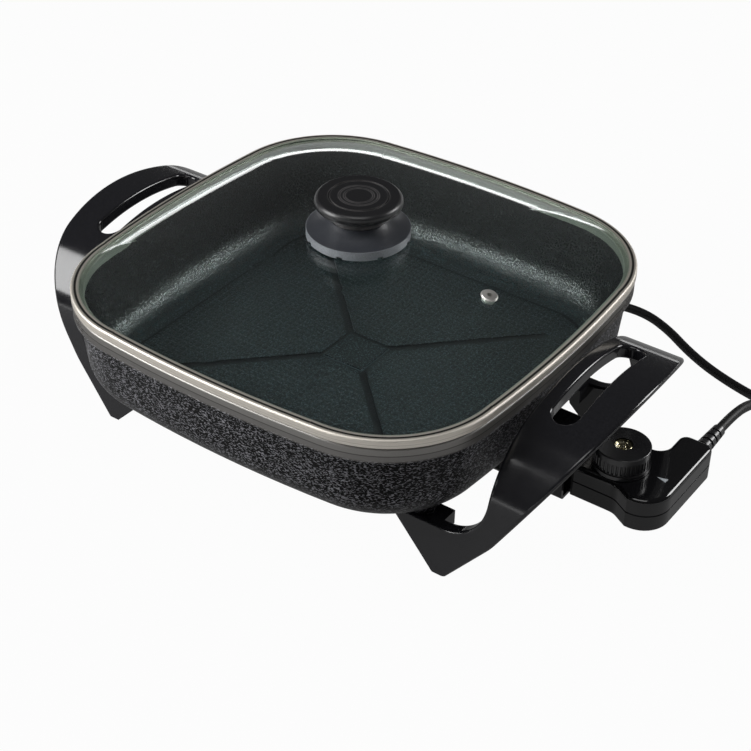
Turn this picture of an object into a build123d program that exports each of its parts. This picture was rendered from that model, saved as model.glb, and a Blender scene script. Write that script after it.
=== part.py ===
"""Square electric skillet: cast pan, glass lid, two handles with legs, plug-in control and lead.

Millimetres. The origin is on the table under the centre of the pan, +Z up, +X towards the
plug-in control and -Y towards the front.
"""

from build123d import *
import math
import os

# Plan shape of the pan and lid: bowed sides, round corners
rim_half = 152.5          # centre to the middle of the pan rim's side
side_bow = 866.0          # radius of the gently bowed sides
corner_round = 76.3       # radius of the lid rim's corners

# Pan
base_z = 48.2             # flat underside above the table
floor_thickness = 6.3
wall_thickness = 4.5
wall_lean = 5.5           # degrees, wider at the top
base_round = 25.0
floor_round = 22.0
rim_overhang = 3.5        # rim outside the top of the wall
wall_height = 54.8        # underside to the rim
rim_height = 10.0
rim_edge = 1.5
groove_width = 5.0        # grooves in the floor, from the middle square to the corners
groove_depth = 0.8
groove_margin = 11.8      # grooves' ends inside the wall
square_half = 17.5
square_line = 3.0

# Heating element and terminals
pin_below = 5.2           # pins, sensor and the control's parting line under the base
pin_spacing = 25.4
pin_diameter = 5.0
pin_length = 30.0
element_diameter = 7.0
element_inset = 11.0      # the loop's side to the terminal block
element_corner = 40.0
element_turn = 12.0
element_gap = 0.2
ridge_wall = 3.5
ridge_lip = 0.5           # ridge below the element
block_inset = 20.5        # terminal block's face inside the rim's side
block_length = 26.0
block_half = 25.0
block_root = 4.0          # how far castings under the pan reach into its base
terminal_depth = 4.0      # the element's ends inside the terminal block
insulator_length = 6.0
insulator_wall = 1.1
sensor_diameter = 6.0
sensor_reach = 70.0       # sensor's tip behind the terminal block's face
sensor_wall = 3.5
sensor_gap = 0.25
sensor_depth = 6.0        # bore past the sensor's tip

# Socket guard
guard_width = 52.0
guard_below = 12.5        # guard under and over the pins
guard_above = 14.0
guard_wall = 2.2
guard_length = 39.5
guard_tab = 20.0
guard_screw_edge = 5.0    # screw centre to the terminal block's side

# Handles
arch_below = 1.9          # top of the arch under the pan rim's top
arch_crown = 170.0
crown_turn = 16.5
arch_bend = 62.0
bend_turn = 69.0
handle_wall = 9.0
handle_gap = 4.5          # pan rim's side to the handle's inner edge
handle_width = 53.0       # at the arch's top
knee_out = 6.0            # where the outer edge bends, from the inner edge
knee_round = 60.0
foot_in = 22.0            # foot under the pan, from the inner edge
foot_length = 9.0
leg_slope = 45.5          # degrees, underside of the arm that reaches under the pan
arm_below = 14.2          # arm's top under the base
arm_round = 28.0
slot_out = 18.5           # slot's middle from the inner edge
slot_length = 92.0
slot_width = 17.0
handle_edge = 2.0
slot_edge = 1.8
boss_in = 47.0            # boss and its screw, from the inner edge
boss_beside = 1.5         # and from the leg's inner side
boss_diameter = 15.0
pad_half = 8.5
pad_height = 10.0

# Screws
handle_screw = 5.0
handle_screw_grip = 7.0   # handle material under the screw's shoulder
handle_screw_depth = 10.0
small_screw = 3.0
small_screw_depth = 8.0
head_ratio = 1.9
head_height_ratio = 0.6
thread_gap = 0.05
shank_gap = 0.2
head_gap = 0.5
small_head_gap = 0.3

# Lid
lid_overhang = 0.5        # lid rim outside the pan rim
lid_gap = 0.3             # lid rim over pan rim
band_thickness = 0.8
band_edge = 1.5
glass_thickness = 4.2
glass_gap = 0.2
band_top_lip = 5.5
dome_rise = 25.0
dome_power = 2.8
dome_steps = (1.0, 0.94, 0.85, 0.7, 0.5, 0.3, 0.15)
skirt_drop = 4.0          # lid rim's flange inside the pan's mouth
skirt_gap = 0.8

# Lid knob and vent
knob_skirt_radius = 32.8
knob_band = 6.0
knob_chamfer = 0.5
knob_flare_z = 8.2
knob_waist_radius = 18.6
knob_collar_radius = 17.8
knob_waist_z = 13.0
knob_cap_radius = 27.7
knob_cap_height = 14.5
knob_cap_edge = 7.4
knob_ring_radii = (9.0, 12.2, 18.6)
knob_ring_width = 1.2
notch_count = 8
notch_width = 3.6
notch_height = 1.8
gasket_thickness = 0.6
gasket_radius = 13.0
seal_thickness = 1.5
seal_radius = 9.0
washer_thickness = 1.2
washer_radius = 8.0
knob_screw_diameter = 5.0
knob_screw_depth = 9.0
knob_hole = 6.4
vent_in = 56.0            # vent inside the lid rim's side
vent_radius = 3.0
vent_bore = 1.7
vent_flange_radius = 5.4
vent_flange = 1.2
vent_gap = 0.2

# Control housing
body_height = 23.0
housing_wall = 2.2
nose_half = 19.0
nose_out = 8.0            # nose's face from the terminal block's
nose_gap = 1.5            # nose inside the guard, above and below
nose_side_gap = 4.5
body_gap = 2.0            # body from the guard's mouth
flare_out = 29.5          # from the body's start, as for the next lengths along X
flare_slope = 1.7         # run of the flare to its rise
flare_round = 12.0
body_half = 25.5
body_length = 60.5
body_corner = 18.0
arm_width = 22.0
arm_end = 50.0
arm_corner = 6.0
elbow_round = 9.0
shoulder = 15.0
shoulder_round = 4.0
body_edge = 3.0
parting_edge = 0.5        # bevel along the joint of the two halves
contact_wall = 1.4
contact_gap = 0.15
contact_length = 26.0
post_radius = 4.6
post_out = 7.5
arm_post_in = 17.0        # from the arm's end
screw_grip = 3.0
bracket_thickness = 1.2
bracket_out = 10.5
bracket_foot = 5.5
spacer_out = 15.0         # from the dial's axis, along X and Y
spacer_beside = 14.0
spacer_size = 6.0
leaf_thickness = 0.6
leaf_length = 22.0
leaf_width = 5.0
leaf_gap = 2.4

# Dial and pilot light
dial_out = 22.5           # axis from the body's start
dial_radius = 17.0
dial_height = 14.6
dial_gap = 0.4
dial_base = 2.4
dial_knurl = 7.0
dial_ribs = 40
dial_rib_radius = 0.75
dial_recess_radius = 5.9
hub_radius = 8.0
hub_gap = 0.1
retainer_width = 2.2
retainer_thickness = 1.4
lamp_holder_gap = 0.3
lens_below = 0.6
lens_height = 5.8
lens_edge = 0.4
lens_dish_radius = 5.0
lens_dish_depth = 2.4
lens_bead_radius = 2.0
lamp_radius = 3.0
lamp_length = 13.0

# Lead
cord_diameter = 6.5
relief_length = 30.0
relief_base = 11.0
relief_tip = 8.4
relief_grooves = 4
relief_groove = 2.0
relief_core = 7.4
relief_flange = 1.6
tie_thickness = 1.0
tie_width = 8.0
tie_gap = 0.5
tie_round = 2.0
coil_x = -70.0           # start of the coil, at its front
coil_y = 178.0
coil_radius = 40.0
coil_pitch = 7.2
coil_inward = 3           # half turns from the outside in
coil_layer = 7.1
plug_relief = 20.0
plug_shoulder = 12.0
plug_length = 20.0
plug_width = 34.0
plug_height = 20.0
plug_edge = 1.5
plug_earth_offset = 3.0
plug_pin_diameter = 4.8
plug_pin_length = 19.0
plug_pin_spacing = 19.0

# Sizes that follow from the ones above
lean_rise = math.tan(math.radians(wall_lean))
wall_half = rim_half - rim_overhang
lid_half = rim_half + lid_overhang
rim_bottom_z = base_z + wall_height
base_half = wall_half - (rim_bottom_z - base_z) * lean_rise
floor_z = base_z + floor_thickness
rim_top_z = rim_bottom_z + rim_height
inner_wall = wall_thickness / math.cos(math.radians(wall_lean))
floor_half = base_half + floor_thickness * lean_rise - inner_wall
mouth_half = floor_half + (rim_top_z - floor_z) * lean_rise
groove_end = floor_half - groove_margin
pin_y = pin_spacing / 2
pin_z = base_z - pin_below
block_end = rim_half - block_inset
block_start = block_end - block_length
element_half = block_start - element_inset
sensor_tip = block_end - sensor_reach
guard_bottom_z = pin_z - guard_below
guard_top_z = pin_z + guard_above
guard_end = block_end + guard_length
handle_inner = rim_half + handle_gap
handle_outer = handle_inner + handle_width
arch_top = rim_top_z - arch_below
arm_top_z = base_z - arm_below
knee = (handle_inner + knee_out, arm_top_z)
foot_outer = handle_inner - foot_in
foot_inner = foot_outer - foot_length
slot_x = handle_inner + slot_out
boss_x = handle_inner - boss_in
vent_x = lid_half - vent_in
block_bottom_z = guard_bottom_z + guard_wall
element_groove = element_diameter + 2 * element_gap
element_end = block_end - terminal_depth
ridge_bottom_z = pin_z - element_diameter / 2 - ridge_lip
guard_screw_y = block_half - guard_screw_edge
band_z = rim_top_z + lid_gap
band_height = glass_thickness + 2 * (band_thickness + glass_gap)
glass_z = band_z + band_thickness + glass_gap
glass_half = lid_half - band_thickness - glass_gap
dome_half = lid_half - band_top_lip - glass_gap
dome_z = glass_z + glass_thickness
glass_top_z = dome_z + dome_rise * (1 - dome_steps[-1] ** dome_power)
skirt_z = glass_top_z + gasket_thickness
nose_bottom_z = guard_bottom_z + guard_wall + nose_gap
nose_top_z = guard_top_z - guard_wall - nose_gap
nose_width = guard_width - 2 * (guard_wall + nose_side_gap)
nose_start = block_end + nose_out
body_start = guard_end + body_gap
body_outer = body_start + body_length
flare_x = body_start + flare_out
post_x = body_start + post_out
bracket_x = body_start + bracket_out
dial_x = body_start + dial_out
spacer_x = dial_x + spacer_out
arm_post_y = arm_end - arm_post_in
body_bottom_z = pin_z - body_height / 2
body_top_z = pin_z + body_height / 2
cavity_bottom_z = body_bottom_z + housing_wall
cavity_top_z = body_top_z - housing_wall
arm_inner = body_outer - arm_width
arm_x = body_outer - arm_width / 2
post_y = nose_half - housing_wall / 2 - post_radius
dial_z = body_top_z + dial_gap
dial_top_z = dial_z + dial_height
lamp_holder_radius = dial_recess_radius - lamp_holder_gap
lens_top_z = dial_top_z - lens_below
lens_z = lens_top_z - lens_height
lamp_z = lens_z - lamp_length
relief_tip_y = arm_end + relief_length
coil_z = tie_thickness + tie_gap + cord_diameter / 2
coil_top = coil_z + coil_layer


def bowed_square(half, scaled=False):
    """Plan shape of the pan at a half width: an offset of the lid's outline, or a scaled copy."""
    size = half / lid_half if scaled else 1
    inset = 0 if scaled else lid_half - half
    side = side_bow * size - inset
    corner = corner_round * size - inset
    side_centre = half - side
    reach = side - corner
    corner_centre = (side_centre + math.sqrt(2 * reach**2 - side_centre**2)) / 2
    lean = math.degrees(math.atan2(corner_centre, corner_centre - side_centre))
    with BuildSketch(mode=Mode.PRIVATE) as outline:
        with BuildLine():
            for turn in (0, 90, 180, 270):
                middle = Vector(side_centre, 0).rotate(Axis.Z, turn)
                CenterArc(middle, side, turn - lean, 2 * lean)
                middle = Vector(corner_centre, corner_centre).rotate(Axis.Z, turn)
                CenterArc(middle, corner, turn + lean, 90 - 2 * lean)
        make_face()
    return outline.sketch


def tapered_block(bottom_z, bottom_half, top_z, bottom_round):
    """Block with the pan's plan shape and lean, and a rounded lower edge."""
    with BuildPart(mode=Mode.PRIVATE) as block:
        with BuildSketch(Plane.XY.offset(bottom_z)):
            add(bowed_square(bottom_half))
        extrude(amount=top_z - bottom_z, taper=-wall_lean)
        fillet(block.faces().sort_by(Axis.Z)[0].edges(), bottom_round)
    return block.part


def pan_blank(grow):
    """Outside of the pan as a full solid, grown by a clearance."""
    with BuildPart(mode=Mode.PRIVATE) as blank:
        add(tapered_block(base_z - grow, base_half + grow, rim_bottom_z, base_round + grow))
        with BuildSketch(Plane.XY.offset(rim_bottom_z - grow)):
            add(bowed_square(rim_half + grow))
        extrude(amount=rim_height + 2 * grow)
    return blank.part


def arch_chain(inset):
    """Half of the handle's arch in Y and Z, from the crown down the leg to the table."""
    crown = JernArc((0, arch_top - inset), (1, 0), arch_crown - inset, -crown_turn)
    bend = JernArc(crown @ 1, crown % 1, arch_bend - inset, -bend_turn)
    heading = bend % 1
    leg = Line(bend @ 1, bend @ 1 - heading * ((bend @ 1).Y / heading.Y))
    return crown, bend, leg


def arch_side(z):
    """Y of the leg's outer face at a height on its straight part."""
    with BuildLine(mode=Mode.PRIVATE):
        leg = arch_chain(0)[2]
    share = ((leg @ 0).Y - z) / ((leg @ 0).Y - (leg @ 1).Y)
    return (leg @ 0).X + share * ((leg @ 1).X - (leg @ 0).X)


def pan_screw(diameter, shank, places, under_head_z):
    """Pan-head screws that point up, with their shoulders at a height."""
    with BuildPart(mode=Mode.PRIVATE) as screws:
        with BuildSketch(Plane.XY.offset(under_head_z)):
            with Locations(*places):
                Circle(diameter / 2)
        extrude(amount=shank)
        with BuildSketch(Plane.XY.offset(under_head_z)):
            with Locations(*places):
                Circle(diameter * head_ratio / 2)
        extrude(amount=-diameter * head_height_ratio)
        heads = screws.faces().group_by(Axis.Z)[0].edges()
        chamfer(heads, diameter * head_height_ratio / 2)
    return screws.part


def dome(thickness_below):
    """Domed block under the lid glass's top or underside."""
    with BuildPart(mode=Mode.PRIVATE) as block:
        for step in dome_steps:
            height = dome_z + dome_rise * (1 - step**dome_power) - thickness_below
            with BuildSketch(Plane.XY.offset(height)):
                add(bowed_square(dome_half * step, scaled=True))
        loft()
    return block.part


def dome_height(x):
    """Height of the glass's top on the X axis."""
    return dome_z + dome_rise * (1 - (x / dome_half) ** dome_power)


def control_outline():
    """Plan shape of the control: a nose, a body with one big corner, and an arm along +Y."""
    flare_run = body_half - nose_half
    corners = (
        ((body_start, -nose_half), 0),
        ((flare_x, -nose_half), flare_round),
        ((flare_x + flare_slope * flare_run, -body_half), 0),
        ((body_outer, -body_half), body_corner),
        ((body_outer, arm_end), arm_corner),
        ((arm_inner, arm_end), arm_corner),
        ((arm_inner, body_half), elbow_round),
        ((arm_inner - shoulder, body_half), shoulder_round),
        ((arm_inner - shoulder - flare_run, nose_half), shoulder_round),
        ((body_start, nose_half), 0),
    )
    with BuildSketch(mode=Mode.PRIVATE) as outline:
        with BuildLine():
            FilletPolyline(*[p for p, _ in corners], radius=[r for _, r in corners], close=True)
        make_face()
    return outline.sketch


def tube(path, diameter):
    """A round cord along a path."""
    with BuildPart(mode=Mode.PRIVATE) as cord:
        with BuildSketch(Plane(path @ 0, z_dir=path % 0)):
            Circle(diameter / 2)
        sweep(path=path)
    return cord.part


def routed(points):
    """Path through points, with each corner as round as its runs allow, and the radii."""
    stops = [Vector(*p) for p in points]
    runs = [b - a for a, b in zip(stops, stops[1:])]
    radii = []
    for before, after in zip(runs, runs[1:]):
        half_turn = math.radians(before.get_angle(after)) / 2
        radii.append(0.45 * min(before.length, after.length) / math.tan(half_turn))
    with BuildLine(mode=Mode.PRIVATE) as path:
        FilletPolyline(*stops, radius=radii)
    return path.wire(), radii


def compare(name, part, path):
    """Print a cord's length and its volume against section times length."""
    section = math.pi * cord_diameter**2 / 4
    ratio = part.volume / (section * path.length)
    print(f"{name}: {path.length:.1f} mm, volume {ratio:.4f} of section times length")


# Pan body: bowl, rim, floor grooves and the castings underneath
boss_y = arch_side(arm_top_z) - handle_wall - boss_beside
boss_places = [(x * boss_x, y * boss_y) for x in (1, -1) for y in (1, -1)]
element_points = [
    (element_end, pin_y),
    (element_half, pin_y),
    (element_half, element_half),
    (-element_half, element_half),
    (-element_half, -element_half),
    (element_half, -element_half),
    (element_half, -pin_y),
    (element_end, -pin_y),
]
element_radii = [element_turn] + 4 * [element_corner] + [element_turn]
with BuildLine() as element_path:
    FilletPolyline(*element_points, radius=element_radii)

with BuildPart() as pan_body:
    add(pan_blank(0))
    add(tapered_block(floor_z, floor_half, rim_top_z, floor_round), mode=Mode.SUBTRACT)
    fillet(pan_body.faces().sort_by(Axis.Z)[-1].edges(), rim_edge)
    with BuildSketch(Plane.XY.offset(floor_z)):
        groove_start = square_half * math.sqrt(2) - groove_width
        with PolarLocations((groove_start + groove_end) / 2, 4, start_angle=45):
            SlotOverall(groove_end - groove_start, groove_width)
        Rectangle(2 * square_half, 2 * square_half)
        square_inner = 2 * (square_half - square_line)
        Rectangle(square_inner, square_inner, mode=Mode.SUBTRACT)
    extrude(amount=-groove_depth, mode=Mode.SUBTRACT)
    with BuildSketch(Plane.XY.offset(arm_top_z)):
        with Locations(*boss_places):
            Circle(boss_diameter / 2)
    extrude(amount=base_z + block_root - arm_top_z)
    with BuildSketch(Plane.XY.offset(ridge_bottom_z)):
        trace(element_path.line, element_groove + 2 * ridge_wall)
    extrude(amount=base_z + block_root - ridge_bottom_z)
    with BuildSketch(Plane.XY.offset(block_bottom_z)):
        with Locations(((block_start + block_end) / 2, 0)):
            Rectangle(block_end - block_start, 2 * block_half)
    extrude(amount=base_z + block_root - block_bottom_z)
    sensor_end = sensor_tip - sensor_depth
    sensor_ridge = sensor_diameter + 2 * sensor_wall
    with BuildSketch(Plane.XY.offset(pin_z - sensor_ridge / 2)):
        with Locations(((sensor_end - sensor_wall + block_end) / 2, 0)):
            Rectangle(block_end - sensor_end + sensor_wall, sensor_ridge)
    extrude(amount=base_z + block_root - pin_z + sensor_ridge / 2)
    with BuildSketch(Plane.XY.offset(ridge_bottom_z)):
        trace(element_path.line, element_groove)
        with Locations((block_end, 0)):
            Rectangle(2 * (block_end - block_start), 2 * block_half, mode=Mode.SUBTRACT)
    extrude(amount=pin_z + element_groove / 2 - ridge_bottom_z, mode=Mode.SUBTRACT)
    with BuildSketch(Plane.YZ.offset(block_end)):
        with Locations((pin_y, pin_z), (-pin_y, pin_z)):
            Circle(element_groove / 2)
    extrude(amount=block_start - block_end - 1, mode=Mode.SUBTRACT)
    with BuildSketch(Plane.YZ.offset(block_end)):
        with Locations((0, pin_z)):
            Circle(sensor_diameter / 2 + sensor_gap)
    extrude(amount=sensor_end - block_end, mode=Mode.SUBTRACT)
    with BuildSketch(Plane.XY.offset(arm_top_z)):
        with Locations(*boss_places):
            Circle(handle_screw / 2 + thread_gap)
    extrude(amount=handle_screw_depth + head_gap, mode=Mode.SUBTRACT)
    guard_screw_x = block_end - guard_tab / 2
    guard_screw_places = [(guard_screw_x, guard_screw_y), (guard_screw_x, -guard_screw_y)]
    with BuildSketch(Plane.XY.offset(block_bottom_z)):
        with Locations(*guard_screw_places):
            Circle(small_screw / 2 + thread_gap)
    extrude(amount=small_screw_depth + head_gap, mode=Mode.SUBTRACT)

# Heating element: a sheathed tube in the ridge's groove, its ends in the terminal block
with BuildPart() as heating_element:
    with BuildLine(Plane.XY.offset(pin_z)) as element_line:
        FilletPolyline(*element_points, radius=element_radii)
    with BuildSketch(Plane(element_line.line @ 0, z_dir=element_line.line % 0)):
        Circle(element_diameter / 2)
    sweep(path=element_line.line)

with BuildPart() as terminal_pins:
    with BuildSketch(Plane.YZ.offset(element_end)):
        with Locations((pin_y, pin_z), (-pin_y, pin_z)):
            Circle(pin_diameter / 2)
    extrude(amount=pin_length)
    chamfer(terminal_pins.faces().group_by(Axis.X)[-1].edges(), pin_diameter / 4)

with BuildPart() as pin_insulators:
    with BuildSketch(Plane.YZ.offset(element_end)):
        with Locations((pin_y, pin_z), (-pin_y, pin_z)):
            Circle(pin_diameter / 2 + insulator_wall)
            Circle(pin_diameter / 2 + thread_gap, mode=Mode.SUBTRACT)
    extrude(amount=insulator_length)

# Socket guard: a box open at both ends, with a tab screwed under the terminal block
with BuildPart() as socket_guard:
    guard_height = guard_top_z - guard_bottom_z
    with BuildSketch(Plane.YZ.offset(block_end)):
        with Locations((0, guard_bottom_z + guard_height / 2)):
            RectangleRounded(guard_width, guard_height, guard_wall + 1)
            RectangleRounded(
                guard_width - 2 * guard_wall, guard_height - 2 * guard_wall, 1, mode=Mode.SUBTRACT
            )
    extrude(amount=guard_end - block_end)
    with BuildSketch(Plane.XY.offset(guard_bottom_z)):
        with Locations((block_end - guard_tab / 2 + guard_wall, 0)):
            Rectangle(guard_tab + 2 * guard_wall, 2 * block_half - guard_wall)
    extrude(amount=guard_wall)
    add(pan_blank(lid_gap), mode=Mode.SUBTRACT)
    with BuildSketch(Plane.XY.offset(guard_bottom_z)):
        with Locations(*guard_screw_places):
            Circle(small_screw / 2 + shank_gap)
    extrude(amount=guard_wall, mode=Mode.SUBTRACT)

with BuildPart() as guard_screws:
    guard_shank = guard_wall + small_screw_depth
    add(pan_screw(small_screw, guard_shank, guard_screw_places, guard_bottom_z))

# Right handle: an arched plate cut to its side outline, with arms that reach under the pan
arm_tip = foot_inner - arm_top_z / math.tan(math.radians(leg_slope))
outline_top = arch_top + handle_wall
outer_rise = (handle_outer - knee[0]) / (arch_top - knee[1])
pad_inner = boss_y - pad_half
pad_outer = arch_side(arm_top_z) - handle_wall / 2


def handle_side():
    """Solid with the handle's outline seen from the front, wider than the handle."""
    outline = (
        ((foot_inner, 0), 0),
        ((foot_outer, 0), 0),
        (knee, knee_round),
        ((handle_outer + outer_rise * (outline_top - arch_top), outline_top), 0),
        ((handle_inner, outline_top), 0),
        ((handle_inner, arm_top_z), arm_round),
        ((arm_tip, arm_top_z), 0),
    )
    with BuildPart(mode=Mode.PRIVATE) as side:
        with BuildSketch(Plane.XZ):
            with BuildLine():
                FilletPolyline(*[p for p, _ in outline], radius=[r for _, r in outline], close=True)
            make_face()
        extrude(amount=2 * boss_y, both=True)
    return side.part


def handle_pads():
    """Blocks on the arms' inner sides, for the screws into the pan's bosses."""
    with BuildPart(mode=Mode.PRIVATE) as pads:
        with BuildSketch(Plane.XY.offset(arm_top_z - pad_height)):
            for side in (1, -1):
                with Locations((boss_x, side * (pad_inner + pad_outer) / 2)):
                    Rectangle(4 * pad_half, pad_outer - pad_inner)
        extrude(amount=pad_height)
        add(handle_side(), mode=Mode.INTERSECT)
    return pads.part


def beside_grip(face):
    """True for the handle's outer and inner edge faces, but not its feet, arms or crown."""
    normal = face.normal_at()
    return abs(normal.Y) < 0.01 and (normal.X > 0.1 or (normal.X < -0.1 and normal.Z > -0.1))


with BuildPart() as right_handle:
    with BuildSketch(Plane.YZ.offset(arm_tip - handle_wall)):
        with BuildLine():
            outside = arch_chain(0)
            inside = arch_chain(handle_wall)
            Line(outside[0] @ 0, inside[0] @ 0)
            Line(outside[2] @ 1, inside[2] @ 1)
        make_face()
        mirror(about=Plane.YZ)
    extrude(amount=handle_outer + outline_top - arm_tip)
    add(handle_side(), mode=Mode.INTERSECT)
    edge_faces = right_handle.faces().filter_by(beside_grip)
    fillet(edge_faces.edges().filter_by(Axis.Y, reverse=True), handle_edge)
    with BuildSketch(Plane.XY.offset(outline_top)):
        with Locations((slot_x, 0)):
            SlotOverall(slot_length, slot_width, rotation=90)
    extrude(amount=arm_top_z - outline_top, mode=Mode.SUBTRACT)
    slot_edges = right_handle.edges(Select.LAST).filter_by(Axis.Z, reverse=True)
    fillet(slot_edges.filter_by(Axis.X, reverse=True), slot_edge)
    add(handle_pads())
    with BuildSketch():
        with Locations((boss_x, boss_y), (boss_x, -boss_y)):
            Circle(handle_screw * head_ratio / 2 + head_gap)
    extrude(amount=arm_top_z - handle_screw_grip, mode=Mode.SUBTRACT)
    with BuildSketch():
        with Locations((boss_x, boss_y), (boss_x, -boss_y)):
            Circle(handle_screw / 2 + shank_gap)
    extrude(amount=arm_top_z, mode=Mode.SUBTRACT)

with BuildPart() as left_handle:
    add(mirror(right_handle.part, about=Plane.YZ, mode=Mode.PRIVATE))

handle_shank = handle_screw_grip + handle_screw_depth
handle_screw_z = arm_top_z - handle_screw_grip
with BuildPart() as right_handle_screws:
    add(pan_screw(handle_screw, handle_shank, boss_places[:2], handle_screw_z))

with BuildPart() as left_handle_screws:
    add(pan_screw(handle_screw, handle_shank, boss_places[2:], handle_screw_z))

# Lid glass: a flat edge inside the rim and a dome with the knob's and the vent's holes
vent_slope = dome_rise * dome_power * (vent_x / dome_half) ** (dome_power - 1) / dome_half
vent_plane = Plane(
    (vent_x, 0, dome_height(vent_x)), x_dir=(1, 0, -vent_slope), z_dir=(vent_slope, 0, 1)
)
with BuildPart() as lid_glass:
    with BuildSketch(Plane.XY.offset(glass_z)):
        add(bowed_square(glass_half))
    extrude(amount=glass_thickness)
    add(dome(0))
    add(dome(glass_thickness), mode=Mode.SUBTRACT)
    with BuildSketch(Plane.XY.offset(dome_z)):
        Circle(knob_hole / 2)
    extrude(amount=2 * dome_rise, mode=Mode.SUBTRACT)
    with BuildSketch(vent_plane):
        Circle(vent_radius + vent_gap)
    extrude(amount=2 * glass_thickness, both=True, mode=Mode.SUBTRACT)

# Lid rim: a rolled steel channel round the glass, with a flange inside the pan's mouth
with BuildPart() as lid_rim:
    flange_half = mouth_half - skirt_gap
    with BuildSketch(Plane.XY.offset(band_z)):
        add(bowed_square(lid_half))
    extrude(amount=band_height)
    fillet(lid_rim.faces().sort_by(Axis.Z)[-1].edges(), band_edge)
    chamfer(lid_rim.faces().sort_by(Axis.Z)[0].edges(), band_thickness)
    with BuildSketch(Plane.XY.offset(band_z + band_thickness)):
        add(bowed_square(lid_half - band_thickness))
    extrude(amount=glass_thickness + 2 * glass_gap, mode=Mode.SUBTRACT)
    with BuildSketch(Plane.XY.offset(glass_z)):
        add(bowed_square(lid_half - band_top_lip))
    extrude(amount=band_height, mode=Mode.SUBTRACT)
    with BuildSketch(Plane.XY.offset(band_z - skirt_drop)):
        add(bowed_square(flange_half))
    extrude(amount=skirt_drop + band_thickness)
    with BuildSketch(Plane.XY.offset(band_z - skirt_drop)):
        add(bowed_square(flange_half - band_thickness))
    extrude(amount=band_height, mode=Mode.SUBTRACT)

# Lid knob: flared skirt with notches, round cap, and the parts that clamp them to the glass
with BuildPart() as knob_skirt:
    with BuildSketch(Plane.XZ):
        with BuildLine():
            Polyline(
                (knob_waist_radius, skirt_z + knob_waist_z),
                (0, skirt_z + knob_waist_z),
                (0, skirt_z),
                (knob_skirt_radius - knob_chamfer, skirt_z),
                (knob_skirt_radius, skirt_z + knob_chamfer),
                (knob_skirt_radius, skirt_z + knob_band),
            )
            ThreePointArc(
                (knob_skirt_radius, skirt_z + knob_band),
                (0.55 * knob_skirt_radius + 0.45 * knob_waist_radius, skirt_z + knob_flare_z),
                (knob_waist_radius, skirt_z + knob_waist_z),
            )
        make_face()
    revolve(axis=Axis.Z)
    with PolarLocations(knob_skirt_radius, notch_count, start_angle=15):
        with Locations((0, 0, skirt_z + notch_height / 2)):
            Box(2 * notch_height, notch_width, notch_height, mode=Mode.SUBTRACT)
    with BuildSketch(Plane.XY.offset(skirt_z)):
        Circle(knob_screw_diameter / 2 + shank_gap)
    extrude(amount=knob_waist_z, mode=Mode.SUBTRACT)

cap_z = skirt_z + knob_waist_z
with BuildPart() as knob_cap:
    cap_top = cap_z + knob_cap_height
    side_z = cap_top - knob_cap_edge / 2
    with BuildSketch(Plane.XZ):
        with BuildLine():
            Polyline(
                (knob_cap_radius - knob_cap_edge / 3, cap_top),
                (0, cap_top),
                (0, cap_z),
                (knob_collar_radius, cap_z),
                (knob_collar_radius, cap_top - knob_cap_edge),
                (knob_cap_radius - knob_cap_edge / 3, cap_top - knob_cap_edge),
            )
            ThreePointArc(
                (knob_cap_radius - knob_cap_edge / 3, cap_top - knob_cap_edge),
                (knob_cap_radius, side_z),
                (knob_cap_radius - knob_cap_edge / 3, cap_top),
            )
        make_face()
    revolve(axis=Axis.Z)
    with BuildSketch(Plane.XY.offset(cap_top)):
        for ring in knob_ring_radii:
            Circle(ring + knob_ring_width / 2)
            Circle(ring - knob_ring_width / 2, mode=Mode.SUBTRACT)
    extrude(amount=-knob_ring_width / 2, mode=Mode.SUBTRACT)
    with BuildSketch(Plane.XY.offset(cap_z)):
        Circle(knob_screw_diameter / 2 + thread_gap)
    extrude(amount=knob_screw_depth + head_gap, mode=Mode.SUBTRACT)


def knob_ring(radius, bottom_z, thickness):
    """Flat ring round the knob's screw."""
    with BuildPart(mode=Mode.PRIVATE) as ring:
        with BuildSketch(Plane.XY.offset(bottom_z)):
            Circle(radius)
            Circle(knob_screw_diameter / 2 + shank_gap, mode=Mode.SUBTRACT)
        extrude(amount=thickness)
    return ring.part


seal_z = glass_top_z - glass_thickness - seal_thickness
washer_z = seal_z - washer_thickness
with BuildPart() as knob_gasket:
    add(knob_ring(gasket_radius, glass_top_z, gasket_thickness))

with BuildPart() as knob_seal:
    add(knob_ring(seal_radius, seal_z, seal_thickness))

with BuildPart() as knob_washer:
    add(knob_ring(washer_radius, washer_z, washer_thickness))

with BuildPart() as knob_screw:
    knob_shank = cap_z + knob_screw_depth - washer_z
    add(pan_screw(knob_screw_diameter, knob_shank, [(0, 0)], washer_z))

# Steam vent: a steel eyelet with a flange on each side of the glass
with BuildPart() as vent_grommet:
    with BuildSketch(vent_plane):
        Circle(vent_flange_radius)
    extrude(amount=vent_flange)
    vent_top = vent_grommet.faces().filter_by(GeomType.PLANE).sort_by(Axis.Z)[-1]
    chamfer(vent_top.edges(), vent_flange / 2)
    with BuildSketch(vent_plane):
        Circle(vent_radius)
    extrude(amount=-glass_thickness - vent_flange)
    with BuildSketch(vent_plane.offset(-glass_thickness - vent_flange)):
        Circle(vent_flange_radius - vent_flange)
    extrude(amount=vent_flange - vent_gap)
    with BuildSketch(vent_plane):
        Circle(vent_bore)
    extrude(amount=2 * glass_thickness, both=True, mode=Mode.SUBTRACT)

# Control housing: two hollow halves, with a solid nose that holds the socket contacts
contact_radius = pin_diameter / 2 + contact_gap + contact_wall
contact_start = nose_start + housing_wall
screw_post_places = [(post_x, post_y), (post_x, -post_y), (arm_x, arm_post_y)]


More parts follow.
